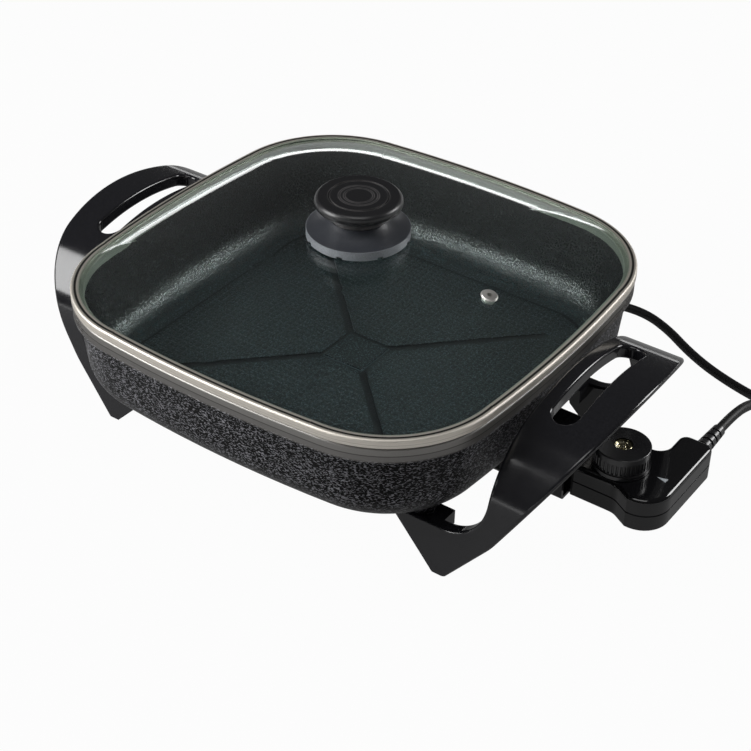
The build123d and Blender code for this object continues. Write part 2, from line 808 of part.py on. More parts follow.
def housing_half(low_z, high_z, outer_face, edge):
    """The control's nose and body between two heights, hollow behind the nose."""
    with BuildPart(mode=Mode.PRIVATE) as half:
        with BuildSketch(Plane.XY.offset(low_z)):
            add(control_outline())
        extrude(amount=high_z - low_z)
        fillet(half.faces().sort_by(Axis.Z)[outer_face].edges(), edge)
        chamfer(half.faces().sort_by(Axis.Z)[-1 - outer_face].edges(), parting_edge)
        with BuildSketch(Plane.XY.offset(max(low_z, nose_bottom_z))):
            with Locations(((nose_start + body_start + housing_wall / 2) / 2, 0)):
                Rectangle(body_start - nose_start + housing_wall / 2, nose_width)
        extrude(amount=min(high_z, nose_top_z) - max(low_z, nose_bottom_z))
        cavity_low = max(low_z, cavity_bottom_z)
        with BuildSketch(Plane.XY.offset(cavity_low)):
            add(control_outline())
            offset(amount=-housing_wall, mode=Mode.REPLACE)
        extrude(amount=min(high_z, cavity_top_z) - cavity_low, mode=Mode.SUBTRACT)
        with BuildSketch(Plane.XY.offset(cavity_low)):
            with Locations(*screw_post_places):
                Circle(post_radius)
        extrude(amount=min(high_z, cavity_top_z) - cavity_low)
        with BuildSketch(Plane.YZ.offset(contact_start)):
            with Locations((pin_y, pin_z), (-pin_y, pin_z)):
                Circle(contact_radius + contact_gap)
        extrude(amount=contact_length + contact_gap, mode=Mode.SUBTRACT)
        with BuildSketch(Plane.YZ.offset(nose_start)):
            with Locations((pin_y, pin_z), (-pin_y, pin_z)):
                Circle(pin_diameter / 2 + 2 * contact_gap)
            with Locations((0, pin_z)):
                Circle(sensor_diameter / 2 + thread_gap)
        extrude(amount=body_start + housing_wall - nose_start, mode=Mode.SUBTRACT)
        with BuildSketch(Plane.XZ.offset(-arm_end)):
            with Locations((arm_x, pin_z)):
                Circle(relief_core / 2 + contact_gap)
        extrude(amount=housing_wall, mode=Mode.SUBTRACT)
    return half.part


with BuildPart() as control_upper_housing:
    add(housing_half(pin_z, body_top_z, -1, body_edge))
    with BuildSketch(Plane.XY.offset(body_top_z)):
        with Locations((dial_x, 0)):
            Circle(hub_radius + hub_gap)
    extrude(amount=-2 * housing_wall, mode=Mode.SUBTRACT)
    with BuildSketch(Plane.XY.offset(pin_z)):
        with Locations(*screw_post_places):
            Circle(small_screw / 2 + thread_gap)
    extrude(amount=small_screw_depth + head_gap, mode=Mode.SUBTRACT)

screw_seat_z = pin_z - screw_grip
with BuildPart() as control_lower_housing:
    add(housing_half(body_bottom_z, pin_z, 0, body_edge / 2))
    with BuildSketch(Plane.XY.offset(body_bottom_z)):
        with Locations(*screw_post_places):
            Circle(small_screw * head_ratio / 2 + small_head_gap)
    extrude(amount=screw_seat_z - body_bottom_z, mode=Mode.SUBTRACT)
    with BuildSketch(Plane.XY.offset(body_bottom_z)):
        with Locations(*screw_post_places):
            Circle(small_screw / 2 + thread_gap)
    extrude(amount=pin_z - body_bottom_z, mode=Mode.SUBTRACT)

with BuildPart() as housing_screws:
    housing_shank = pin_z - screw_seat_z + small_screw_depth
    add(pan_screw(small_screw, housing_shank, screw_post_places, screw_seat_z))

# Sensor rod and socket contacts in the nose, bracket and switch in the housing
bracket_half = post_y - post_radius - contact_gap
with BuildPart() as sensor_rod:
    with BuildSketch(Plane.YZ.offset(sensor_tip)):
        with Locations((0, pin_z)):
            Circle(sensor_diameter / 2)
    extrude(amount=bracket_x + 2 * bracket_thickness - sensor_tip)
    chamfer(sensor_rod.faces().sort_by(Axis.X)[0].edges(), sensor_diameter / 4)

with BuildPart() as socket_contacts:
    with BuildSketch(Plane.YZ.offset(contact_start)):
        with Locations((pin_y, pin_z), (-pin_y, pin_z)):
            Circle(contact_radius)
            Circle(pin_diameter / 2 + contact_gap, mode=Mode.SUBTRACT)
    extrude(amount=contact_length)

with BuildPart() as thermostat_bracket:
    with BuildSketch(Plane.XY.offset(cavity_bottom_z)):
        with Locations((bracket_x - bracket_foot / 2 + bracket_thickness, 0)):
            Rectangle(bracket_foot, 2 * bracket_half)
    extrude(amount=bracket_thickness)
    with BuildSketch(Plane.YZ.offset(bracket_x)):
        with Locations((0, (cavity_bottom_z + pin_z + sensor_diameter) / 2)):
            Rectangle(2 * bracket_half, pin_z + sensor_diameter - cavity_bottom_z)
        with Locations((0, pin_z)):
            Circle(sensor_diameter / 2 + thread_gap, mode=Mode.SUBTRACT)
    extrude(amount=bracket_thickness)

spacer_top_z = pin_z - leaf_thickness


def stacked(length, width, bottoms, thicknesses):
    """Flat pieces of the switch, one above the other at the spacers' place."""
    with BuildPart(mode=Mode.PRIVATE) as pieces:
        for bottom, thickness in zip(bottoms, thicknesses):
            with BuildSketch(Plane.XY.offset(bottom)):
                with Locations((spacer_x, -spacer_beside)):
                    Rectangle(length, width, align=(Align.MAX, Align.CENTER))
            extrude(amount=thickness)
    return pieces.part


with BuildPart() as ceramic_spacers:
    spacer_floors = (cavity_bottom_z, spacer_top_z + leaf_thickness)
    spacer_heights = (spacer_top_z - cavity_bottom_z, leaf_gap)
    add(stacked(spacer_size, spacer_size, spacer_floors, spacer_heights))

with BuildPart() as contact_leaves:
    leaf_floors = (spacer_top_z, spacer_top_z + leaf_thickness + leaf_gap)
    add(stacked(leaf_length, leaf_width, leaf_floors, (leaf_thickness, leaf_thickness)))

# Dial: knurled ring that turns round the pilot light, held by a ring under the housing's top
retainer_top_z = cavity_top_z - dial_gap
hub_end_z = retainer_top_z - retainer_thickness
with BuildPart() as dial_knob:
    with BuildSketch(Plane.XY.offset(dial_z)):
        with Locations((dial_x, 0)):
            Circle(dial_radius)
    extrude(amount=dial_height)
    fillet(dial_knob.faces().sort_by(Axis.Z)[-1].edges(), dial_rib_radius)
    knurl_z = dial_z + dial_base + dial_rib_radius + dial_knurl / 2
    with Locations((dial_x, 0, knurl_z)):
        with PolarLocations(dial_radius, dial_ribs):
            Cylinder(dial_rib_radius, dial_knurl, mode=Mode.SUBTRACT)
    with BuildSketch(Plane.XY.offset(dial_z)):
        with Locations((dial_x, 0)):
            Circle(dial_radius + dial_rib_radius)
    extrude(amount=dial_base)
    with BuildSketch(Plane.XY.offset(hub_end_z)):
        with Locations((dial_x, 0)):
            Circle(hub_radius)
    extrude(amount=dial_z - hub_end_z)
    with BuildSketch(Plane.XY.offset(dial_top_z)):
        with Locations((dial_x, 0)):
            Circle(dial_recess_radius)
    extrude(amount=hub_end_z - dial_top_z, mode=Mode.SUBTRACT)

with BuildPart() as dial_retainer:
    with BuildSketch(Plane.XY.offset(hub_end_z)):
        with Locations((dial_x, 0)):
            Circle(hub_radius + retainer_width)
            Circle(hub_radius + thread_gap, mode=Mode.SUBTRACT)
    extrude(amount=retainer_thickness)

# Pilot light: holder on the housing's floor, lamp inside it and dished lens in the dial's recess
with BuildPart() as lamp_holder:
    with BuildSketch(Plane.XY.offset(cavity_bottom_z)):
        with Locations((dial_x, 0)):
            Circle(lamp_holder_radius)
    extrude(amount=lens_z - cavity_bottom_z)
    with BuildSketch(Plane.XY.offset(lens_z)):
        with Locations((dial_x, 0)):
            Circle(lamp_radius + lamp_holder_gap)
    extrude(amount=lamp_z - lens_z, mode=Mode.SUBTRACT)

with BuildPart() as pilot_lamp:
    with BuildSketch(Plane.XY.offset(lamp_z)):
        with Locations((dial_x, 0)):
            Circle(lamp_radius)
    extrude(amount=lens_z - lamp_z - lamp_holder_gap)
    chamfer(pilot_lamp.faces().sort_by(Axis.Z)[-1].edges(), lamp_radius / 2)

with BuildPart() as pilot_lens:
    with BuildSketch(Plane.XY.offset(lens_z)):
        with Locations((dial_x, 0)):
            Circle(lamp_holder_radius)
    extrude(amount=lens_height)
    chamfer(pilot_lens.faces().sort_by(Axis.Z)[-1].edges(), lens_edge)
    with Locations((dial_x, 0, lens_top_z)):
        Cone(
            lens_bead_radius + lens_edge,
            lens_dish_radius,
            lens_dish_depth,
            align=(Align.CENTER, Align.CENTER, Align.MAX),
            mode=Mode.SUBTRACT,
        )
    with BuildSketch(Plane.XY.offset(lens_top_z - lens_dish_depth)):
        with Locations((dial_x, 0)):
            Circle(lens_bead_radius)
    extrude(amount=lens_dish_depth - lens_edge)
    fillet(pilot_lens.edges(Select.LAST).sort_by(Axis.Z)[-1], 0.7 * lens_bead_radius)

# Lead: tapered relief with grooves, cord to the coil, tied coil, tail and plug
relief_plane = Plane((arm_x, arm_end, pin_z), x_dir=(1, 0, 0), z_dir=(0, 1, 0))
with BuildPart() as strain_relief:
    with BuildSketch(relief_plane):
        Circle(relief_base / 2)
    relief_lean = math.degrees(math.atan2((relief_base - relief_tip) / 2, relief_length))
    extrude(amount=relief_length, taper=relief_lean)
    for groove in range(relief_grooves):
        groove_at = relief_length * (groove + 1) / (relief_grooves + 1)
        with BuildSketch(relief_plane.offset(groove_at - relief_groove / 2)):
            Circle(relief_base)
            Circle(relief_core / 2, mode=Mode.SUBTRACT)
        extrude(amount=relief_groove, mode=Mode.SUBTRACT)
    with BuildSketch(relief_plane):
        Circle(relief_core / 2)
    extrude(amount=-housing_wall - relief_flange)
    with BuildSketch(relief_plane.offset(-housing_wall - contact_gap)):
        Circle(relief_base / 2)
    extrude(amount=-relief_flange)

coil_start = (coil_x + cord_diameter, coil_y, coil_z)
coil_end = (coil_x - cord_diameter, coil_y + coil_pitch, coil_top)
lead_points = [
    (arm_x, relief_tip_y, pin_z),
    (arm_x, 101, pin_z),
    (224.5, 124, 38),
    (226, 145, 26.5),
    (221.5, 163.5, 14),
    (208.5, 176, 5.5),
    (188, 183.5, 3.3),
    (166, 191, 3.3),
    (144, 202, 3.3),
    (122, 216.5, 3.3),
    (99, 226, 3.3),
    (76, 224.5, 3.3),
    (53, 216.5, 3.3),
    (31, 206, 3.3),
    (9, 196.5, 3.3),
    (-12, 188.5, 3.3),
    (-33, 181.5, 3.8),
    (-52, coil_y, coil_z),
    coil_start,
]
tail_points = [
    coil_end,
    (-98, coil_y + coil_pitch, coil_top),
    (-120.5, 184, plug_height / 2),
    (-143, 184, plug_height / 2),
]
lead_path, lead_radii = routed(lead_points)
tail_path, tail_radii = routed(tail_points)
with BuildPart() as cord_lead:
    add(tube(lead_path, cord_diameter))

with BuildPart() as cord_tail:
    add(tube(tail_path, cord_diameter))


def wound_path():
    """One unbroken line of half turns: in on the table, up at the middle, out above."""
    inward = [coil_radius - step * coil_pitch / 2 for step in range(coil_inward)]
    climb = coil_radius - coil_inward * coil_pitch / 2
    with BuildLine(mode=Mode.PRIVATE) as path:
        at = Vector(coil_x, coil_y, coil_z)
        Line(coil_start, at)
        way = 1
        for step, radius in enumerate(inward + [climb] + inward[:0:-1]):
            height = coil_top if step >= coil_inward else coil_z
            end = Vector(coil_x, at.Y + way * 2 * radius, height)
            bulge = Vector(way * (end - at).length / 2, 0, 0)
            ThreePointArc(at, (at + end) / 2 - bulge, end)
            at = end
            way = -way
        Line(at, coil_end)
    return path.wire()


coil_path = wound_path()
with BuildPart() as cord_coil:
    add(tube(coil_path, cord_diameter))


def self_gap(path):
    """Least gap of a cord to itself, between points more than three diameters apart along it."""
    count = 400
    points = [path @ (i / count) for i in range(count + 1)]
    apart = math.ceil(3 * cord_diameter / path.length * count)
    pairs = ((a, b) for i, a in enumerate(points) for b in points[i + apart:])
    return min((a - b).length for a, b in pairs) - cord_diameter


tie_left = coil_x - coil_radius - cord_diameter / 2 - tie_gap
tie_right = coil_x - coil_radius + coil_pitch + cord_diameter / 2 + 3 * tie_gap
tie_inner_height = coil_top - coil_z + cord_diameter + 2 * tie_gap
with BuildPart() as cord_tie:
    with BuildSketch(Plane.XZ.offset(-coil_y - coil_radius - coil_pitch / 2 - tie_width / 2)):
        with Locations(((tie_left + tie_right) / 2, tie_thickness + tie_inner_height / 2)):
            RectangleRounded(
                tie_right - tie_left + 2 * tie_thickness,
                tie_inner_height + 2 * tie_thickness,
                tie_thickness + tie_round,
            )
            RectangleRounded(
                tie_right - tie_left, tie_inner_height, tie_round, mode=Mode.SUBTRACT
            )
    extrude(amount=tie_width)

plug_plane = Plane(tail_points[-1], x_dir=(0, 1, 0), z_dir=(-1, 0, 0))
with BuildPart() as plug_body:
    with BuildSketch(plug_plane):
        Circle(relief_tip / 2)
    extrude(amount=plug_relief, taper=-relief_lean)
    with BuildSketch(plug_plane.offset(plug_relief)):
        Circle(relief_base / 2)
    with BuildSketch(plug_plane.offset(plug_relief + plug_shoulder)):
        RectangleRounded(plug_width, plug_height, 0.4 * plug_height)
    loft()
    with BuildSketch(plug_plane.offset(plug_relief + plug_shoulder)):
        RectangleRounded(plug_width, plug_height, 0.4 * plug_height)
    extrude(amount=plug_length)
    chamfer(plug_body.faces().sort_by(Axis.X)[0].edges(), plug_edge)

with BuildPart() as plug_pins:
    with BuildSketch(plug_plane.offset(plug_relief + plug_shoulder + plug_length)):
        with Locations((plug_pin_spacing / 2, 0), (-plug_pin_spacing / 2, 0), (0, plug_earth_offset)):
            Circle(plug_pin_diameter / 2)
    extrude(amount=plug_pin_length)
    chamfer(plug_pins.faces().group_by(Axis.X)[0].edges(), plug_pin_diameter / 4)

compare("cord_lead", cord_lead.part, lead_path)
compare("cord_coil", cord_coil.part, coil_path)
compare("cord_tail", cord_tail.part, tail_path)
print("lead radii", [round(r, 1) for r in lead_radii])
print("tail radii", [round(r, 1) for r in tail_radii])
print(f"coil's least gap to itself {self_gap(coil_path):.2f} mm")

sub_parts = {
    "pan_body": pan_body,
    "heating_element": heating_element,
    "terminal_pins": terminal_pins,
    "pin_insulators": pin_insulators,
    "socket_guard": socket_guard,
    "guard_screws": guard_screws,
    "right_handle": right_handle,
    "left_handle": left_handle,
    "right_handle_screws": right_handle_screws,
    "left_handle_screws": left_handle_screws,
    "lid_glass": lid_glass,
    "lid_rim": lid_rim,
    "knob_skirt": knob_skirt,
    "knob_cap": knob_cap,
    "knob_gasket": knob_gasket,
    "knob_seal": knob_seal,
    "knob_washer": knob_washer,
    "knob_screw": knob_screw,
    "vent_grommet": vent_grommet,
    "control_upper_housing": control_upper_housing,
    "control_lower_housing": control_lower_housing,
    "housing_screws": housing_screws,
    "sensor_rod": sensor_rod,
    "socket_contacts": socket_contacts,
    "thermostat_bracket": thermostat_bracket,
    "ceramic_spacers": ceramic_spacers,
    "contact_leaves": contact_leaves,
    "dial_knob": dial_knob,
    "dial_retainer": dial_retainer,
    "lamp_holder": lamp_holder,
    "pilot_lamp": pilot_lamp,
    "pilot_lens": pilot_lens,
    "strain_relief": strain_relief,
    "cord_lead": cord_lead,
    "cord_coil": cord_coil,
    "cord_tie": cord_tie,
    "cord_tail": cord_tail,
    "plug_body": plug_body,
    "plug_pins": plug_pins,
}
os.makedirs("parts", exist_ok=True)
for name, piece in sub_parts.items():
    piece.part.label = name
    export_step(piece.part, f"parts/{name}.step")
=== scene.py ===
"""Square electric skillet: finishes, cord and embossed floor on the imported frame.

Metres, in the frame of the CAD model: the origin is on the table under the pan's centre, +Z up,
+X towards the plug-in control and -Y towards the front.
"""

import math

import bpy
from mathutils import Matrix, Vector


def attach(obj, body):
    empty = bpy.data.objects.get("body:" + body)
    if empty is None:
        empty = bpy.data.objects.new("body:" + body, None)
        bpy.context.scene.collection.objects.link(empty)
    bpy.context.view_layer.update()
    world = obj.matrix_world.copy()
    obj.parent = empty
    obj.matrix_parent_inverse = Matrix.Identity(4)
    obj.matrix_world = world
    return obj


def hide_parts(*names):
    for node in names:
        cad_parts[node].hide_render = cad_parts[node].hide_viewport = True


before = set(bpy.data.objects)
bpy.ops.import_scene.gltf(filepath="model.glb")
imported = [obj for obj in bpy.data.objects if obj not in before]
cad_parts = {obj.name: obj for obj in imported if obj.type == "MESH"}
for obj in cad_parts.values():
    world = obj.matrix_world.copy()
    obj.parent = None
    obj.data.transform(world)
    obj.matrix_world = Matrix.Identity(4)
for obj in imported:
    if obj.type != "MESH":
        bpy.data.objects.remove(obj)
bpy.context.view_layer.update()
scene = bpy.context.scene
scene.view_settings.view_transform = "Standard"


def linear(code):
    """An sRGB hex colour as the linear RGBA that shader sockets take."""
    parts = [int(code[i:i + 2], 16) / 255 for i in (1, 3, 5)]
    return [c / 12.92 if c <= 0.04045 else ((c + 0.055) / 1.055) ** 2.4 for c in parts] + [1.0]


def node(tree, kind, inputs=None, **settings):
    """Adds a node with its settings, and links or sets its inputs by name or number."""
    made = tree.nodes.new(kind)
    for name, value in settings.items():
        setattr(made, name, value)
    for socket, value in (inputs or {}).items():
        if isinstance(value, bpy.types.NodeSocket):
            tree.links.new(value, made.inputs[socket])
        else:
            made.inputs[socket].default_value = value
    return made


def maths(tree, operation, *values, clamp=False):
    """The result of a Math node on one or two numbers."""
    made = node(tree, "ShaderNodeMath", dict(enumerate(values)), operation=operation, use_clamp=clamp)
    return made.outputs[0]


def vectors(tree, operation, *values):
    """The vector that a Vector Math node gives for one or two vectors."""
    return node(tree, "ShaderNodeVectorMath", dict(enumerate(values)), operation=operation).outputs[0]


def measure(tree, operation, *values):
    """The number that a Vector Math node gives: a length, a distance or a dot product."""
    made = node(tree, "ShaderNodeVectorMath", dict(enumerate(values)), operation=operation)
    return made.outputs["Value"]


def apart(tree, vector):
    """The three parts of a vector."""
    return node(tree, "ShaderNodeSeparateXYZ", {0: vector}).outputs


def flattened(tree, spot):
    """A place in plan, without its height."""
    return vectors(tree, "MULTIPLY", spot, (1, 1, 0))


def from_axis(tree, spot):
    """How far a place is from the upright axis through the origin."""
    return measure(tree, "LENGTH", flattened(tree, spot))


def beside(tree, value, line):
    """How far a number is from another, to either side."""
    return maths(tree, "ABSOLUTE", maths(tree, "SUBTRACT", value, line))


def ranged(tree, value, low, high, start=0.0, end=1.0, **settings):
    """A number that goes from start to end while the value goes from low to high."""
    limits = {"From Min": low, "From Max": high, "To Min": start, "To Max": end}
    return node(tree, "ShaderNodeMapRange", {"Value": value, **limits}, **settings).outputs[0]


def tinted(tree, share, first, second):
    """A colour between two hex codes or sockets: the first at share 0, the second at share 1."""
    first, second = (linear(c) if isinstance(c, str) else c for c in (first, second))
    return node(tree, "ShaderNodeMix", {0: share, 6: first, 7: second}, data_type="RGBA").outputs[2]


def between(tree, share, first, second):
    """A number between two: the first at share 0, the second at share 1."""
    return node(tree, "ShaderNodeMix", {0: share, 2: first, 3: second}).outputs[0]


def noise(tree, spot, scale, detail, **inputs):
    """The value of a noise texture; its features are about 1 / scale metres across."""
    made = node(tree, "ShaderNodeTexNoise", {"Vector": spot, "Scale": scale, "Detail": detail, **inputs})
    return made.outputs["Fac"]


def bumped(tree, shader, height, strength, distance):
    """Lets a height bump the shader's surface."""
    bump = node(tree, "ShaderNodeBump", {"Height": height, "Strength": strength, "Distance": distance})
    tree.links.new(bump.outputs[0], shader.inputs["Normal"])


def finish_start(name, **values):
    """A new material with its tree, its Principled shader and its coordinates."""
    made = bpy.data.materials.new(name)
    made.use_nodes = True
    tree = made.node_tree
    tree.nodes.clear()
    inputs = {key.replace("_", " "): value for key, value in values.items()}
    shader = node(tree, "ShaderNodeBsdfPrincipled", inputs)
    node(tree, "ShaderNodeOutputMaterial", {"Surface": shader.outputs[0]})
    place = node(tree, "ShaderNodeTexCoord")
    return made, tree, shader, place


# The embossed field on the pan's floor, its grooves and its middle square, as in the CAD model
FLOOR_Z = 0.0545
FIELD_HALF, FIELD_CORNER = 0.1155, 0.036
FIELD_CELL = 0.0046
GROOVE_HALF = 0.0040
SQUARE_HALF = 0.0195

# Camera: solved from the pan's, lid's and control's outlines in the photograph
CAMERA_TURN = (34.93, 35.62, 1.079)
CAMERA_PLACE = (0.5381, -0.7572, 0.7024)
CAMERA_LENS, CAMERA_SENSOR = 83.09, 36.0
CAMERA_SHIFT = (0.01015, -0.00225)


def photo_camera():
    """The photograph's camera, from its azimuth, elevation and roll in degrees."""
    azimuth, elevation, roll = (math.radians(a) for a in CAMERA_TURN)
    back = Vector((
        math.sin(azimuth) * math.cos(elevation),
        -math.cos(azimuth) * math.cos(elevation),
        math.sin(elevation),
    ))
    level = Vector((math.cos(azimuth), math.sin(azimuth), 0))
    upright = back.cross(level)
    across = level * math.cos(roll) + upright * math.sin(roll)
    upward = upright * math.cos(roll) - level * math.sin(roll)
    data = bpy.data.cameras.new("photo_camera")
    data.sensor_width = CAMERA_SENSOR
    data.lens = CAMERA_LENS
    data.shift_x, data.shift_y = CAMERA_SHIFT
    camera = bpy.data.objects.new("photo_camera", data)
    scene.collection.objects.link(camera)
    turn = Matrix((across, upward, back)).transposed().to_4x4()
    camera.matrix_world = Matrix.Translation(CAMERA_PLACE) @ turn
    scene.camera = camera


photo_camera()

# Mains cord: the route's points of the CAD model, with the put-away coil as turns of the same line
CORD_DIAMETER = 0.0065
CORD_EXIT = (0.223, 0.080, 0.043)
LEAD = [
    CORD_EXIT,
    (0.223, 0.101, 0.043),
    (0.2245, 0.124, 0.038),
    (0.226, 0.145, 0.0265),
    (0.2215, 0.1635, 0.014),
    (0.2085, 0.176, 0.0055),
    (0.188, 0.1835, 0.0033),
    (0.166, 0.191, 0.0033),
    (0.144, 0.202, 0.0033),
    (0.122, 0.2165, 0.0033),
    (0.099, 0.226, 0.0033),
    (0.076, 0.2245, 0.0033),
    (0.053, 0.2165, 0.0033),
    (0.031, 0.206, 0.0033),
    (0.009, 0.1965, 0.0033),
    (-0.012, 0.1885, 0.0033),
    (-0.033, 0.1815, 0.0038),
    (-0.052, 0.178, 0.00475),
    (-0.0635, 0.178, 0.00475),
]
TAIL = [
    (-0.0765, 0.1852, 0.01185),
    (-0.098, 0.1852, 0.01185),
    (-0.1205, 0.184, 0.010),
    (-0.143, 0.184, 0.010),
]
COIL_START = (-0.070, 0.178)
COIL_RADII = (0.040, 0.0364, 0.0328, 0.0292, 0.0328, 0.0364)
COIL_CLIMB = 3
COIL_LOW, COIL_HIGH = 0.00475, 0.01185
COIL_STEP = 30


def coil_turns():
    """Control points of the coil's half turns, six each, in on the table and out above."""
    points = []
    x, y = COIL_START
    way = 1
    half_step = COIL_STEP // 2
    for step, radius in enumerate(COIL_RADII):
        middle = y + way * radius
        out = radius / math.cos(math.radians(half_step))
        for angle in range(half_step, 180, COIL_STEP):
            if step < COIL_CLIMB:
                height = COIL_LOW
            elif step == COIL_CLIMB:
                height = COIL_LOW + angle / 180 * (COIL_HIGH - COIL_LOW)
            else:
                height = COIL_HIGH
            points.append((
                x - way * out * math.sin(math.radians(angle)),
                middle - way * out * math.cos(math.radians(angle)),
                height,
            ))
        y += way * 2 * radius
        way = -way
    return points


def mains_cord(material):
    """The whole cord as one round line, in place of the CAD model's three lengths."""
    curve = bpy.data.curves.new("mains_cord", "CURVE")
    curve.dimensions = "3D"
    curve.bevel_depth = CORD_DIAMETER / 2
    curve.bevel_resolution = 6
    curve.resolution_u = 10
    curve.use_fill_caps = True
    route = LEAD + coil_turns() + TAIL
    line = curve.splines.new("NURBS")
    line.points.add(len(route) - 1)
    for point, place in zip(line.points, route):
        point.co = (*place, 1)
    line.order_u = 3
    line.use_endpoint_u = True
    cord = bpy.data.objects.new("mains_cord", curve)
    scene.collection.objects.link(cord)
    cord.data.materials.append(material)
    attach(cord, "control")
    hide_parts("cord_lead", "cord_coil", "cord_tail")


# Finishes

# Plan outline of the lid rim, as in the CAD model: bowed sides and round corners
LID_HALF, SIDE_BOW = 0.153, 0.866
CORNER_AT, CORNER_ROUND = 0.0733, 0.0763


def edge_depth(tree, spot):
    """How far a point lies inside the lid rim's outline, seen from above."""
    across = vectors(tree, "ABSOLUTE", flattened(tree, spot))
    bow_middle = LID_HALF - SIDE_BOW
    from_x = measure(tree, "DISTANCE", across, (bow_middle, 0, 0))
    from_y = measure(tree, "DISTANCE", across, (0, bow_middle, 0))
    side_in = maths(tree, "SUBTRACT", SIDE_BOW, maths(tree, "MAXIMUM", from_x, from_y))
    past = vectors(tree, "SUBTRACT", across, (CORNER_AT, CORNER_AT, 0))
    corner_in = maths(tree, "SUBTRACT", CORNER_ROUND, measure(tree, "LENGTH", past))
    parts = apart(tree, past)
    at_corner = maths(tree, "GREATER_THAN", maths(tree, "MINIMUM", parts[0], parts[1]), 0.0)
    return between(tree, at_corner, side_in, corner_in)


# Depths inside the lid rim's outline: the dark line of painted shade along the lip, and where the inner
# lip begins
SHADE_LINE_DEPTH, SHADE_LINE_HALF, SHADE_LINE_FADED = 0.0029, 0.0006, 0.0009
LIP_FROM, LIP_FULL = 0.0046, 0.0054


def lid_band():
    """Rolled and polished stainless: bright, with lines along the rim where the rolls pressed it."""
    made, tree, shader, place = finish_start("rolled_stainless", Metallic=1.0)
    spot = place.outputs["Object"]
    depth = edge_depth(tree, spot)
    # lines about 1.1 mm apart across the top lip and down the side
    along = maths(tree, "SUBTRACT", depth, apart(tree, spot)[2])
    line = node(
        tree, "ShaderNodeTexNoise", {"W": along, "Scale": 900.0, "Detail": 2.0},
        noise_dimensions="1D").outputs["Fac"]
    tone = tinted(tree, ranged(tree, line, 0.35, 0.65), "#dad4ca", "#f8f2e9")
    # a dark line of painted shade runs along the lip, and the lip inside it is a pale grey-green
    lip = tinted(tree, ranged(tree, depth, LIP_FROM, LIP_FULL), tone, "#cfd2c4")
    roll = ranged(tree, beside(tree, depth, SHADE_LINE_DEPTH), SHADE_LINE_HALF, SHADE_LINE_FADED, 0.95, 0.0)
    tree.links.new(tinted(tree, roll, lip, "#1b1c1b"), shader.inputs["Base Color"])
    tree.links.new(ranged(tree, line, 0.3, 0.7, 0.62, 0.44), shader.inputs["Roughness"])
    bumped(tree, shader, line, 0.25, 0.0003)
    return made


# The dial's axis, on which the lens stands, the pitch of the lens's rings, the cap's ring edges, and the
# half width of the painted highlight along each edge
DIAL_X = 0.196
LENS_RING = 0.0019
CAP_RING_EDGES = (0.0084, 0.0096, 0.0116, 0.0128, 0.0180, 0.0192)
CAP_HIGHLIGHT_HALF = 0.0005


def pilot_lens():
    """Clear moulded lens over a metallised dish: pale gold, in bright rings round its middle."""
    made, tree, shader, place = finish_start(
        "metallised_lens", Metallic=0.85, Roughness=0.14, Coat_Weight=0.6, Coat_Roughness=0.05)
    off = vectors(tree, "ADD", place.outputs["Object"], (-DIAL_X, 0, 0))
    turn = maths(tree, "MULTIPLY", from_axis(tree, off), math.tau / LENS_RING)
    ring = ranged(tree, maths(tree, "COSINE", turn), -1.0, 1.0)
    tree.links.new(tinted(tree, ring, "#6f6749", "#efe7c6"), shader.inputs["Base Color"])
    bumped(tree, shader, ring, 0.6, 0.0004)
    return made


def ringed_cap():
    """Moulded phenolic cap: satin black, with painted highlights along the edges of the rings turned into
    its top.
    """
    made, tree, shader, place = finish_start("turned_phenolic_cap", IOR=1.58)
    spot = place.outputs["Object"]
    out = from_axis(tree, spot)
    # painted highlight: a paler line along each ring edge, where the edges would catch the light
    ring_highlights = 0.0
    for radius in CAP_RING_EDGES:
        line = ranged(tree, beside(tree, out, radius), 0.0, CAP_HIGHLIGHT_HALF, 1.0, 0.0)
        ring_highlights = maths(tree, "MAXIMUM", ring_highlights, line)
    grain = noise(tree, spot, 1100.0, 2.0)
    uneven = ranged(tree, noise(tree, spot, 160.0, 2.0), 0.3, 0.7, 0.35, 0.9)
    highlight_share = maths(tree, "MULTIPLY", ring_highlights, uneven)
    tree.links.new(tinted(tree, highlight_share, "#1a1a1c", "#646262"), shader.inputs["Base Color"])
    tree.links.new(ranged(tree, grain, 0.3, 0.7, 0.30, 0.38), shader.inputs["Roughness"])
    bumped(tree, shader, grain, 0.15, 0.00001)
    return made


# The coating's grain, as a number of grains to the metre
NONSTICK_GRAIN = 860.0


def nonstick_look(tree, spot):
    """Sprayed non-stick coating: charcoal with a fine sparkle. Returns its colour and its grain.

    The grain is drawn at about 1.2 mm, coarser than a sprayed one, so that it shows in the render.
    """
    grit = noise(tree, spot, NONSTICK_GRAIN, 1.5, Roughness=0.6)
    spark = ranged(tree, grit, 0.54, 0.66)
    base = tinted(tree, noise(tree, spot, 22.0, 2.0), "#070b0e", "#0d1316")
    return tinted(tree, spark, base, "#4a585c"), grit


# Heights on the pan: the machined rim with its paler top of painted light and its dark line, the strokes'
# fade of painted shade, grooves, floor and walls
RIM_FROM, RIM_FULL = 0.1025, 0.1050
RIM_PALER_FROM, RIM_PALER_FULL = 0.1070, 0.1085
RIM_LINE = 0.1079
STROKES_FAINT, STROKES_FULL = 0.0500, 0.0680
GROOVE_DEEP, GROOVE_TOP = 0.0539, 0.0544
FLOOR_BELOW = 0.060
FLOOR_GLOSS_FROM, FLOOR_GLOSS_TO = 0.0546, 0.0556
WALL_FROM, WALL_FULL = 0.0550, 0.0640
# The hammered strokes: to the metre along the wall, and how much closer they lie up the wall
STROKES, STROKES_CLOSER = 620.0, 2.6
# The painted shade line outside the embossed field, and the half side of the pale line in the middle
# square
BORDER_OUT = 0.0015
SQUARE_LINE = 0.0150


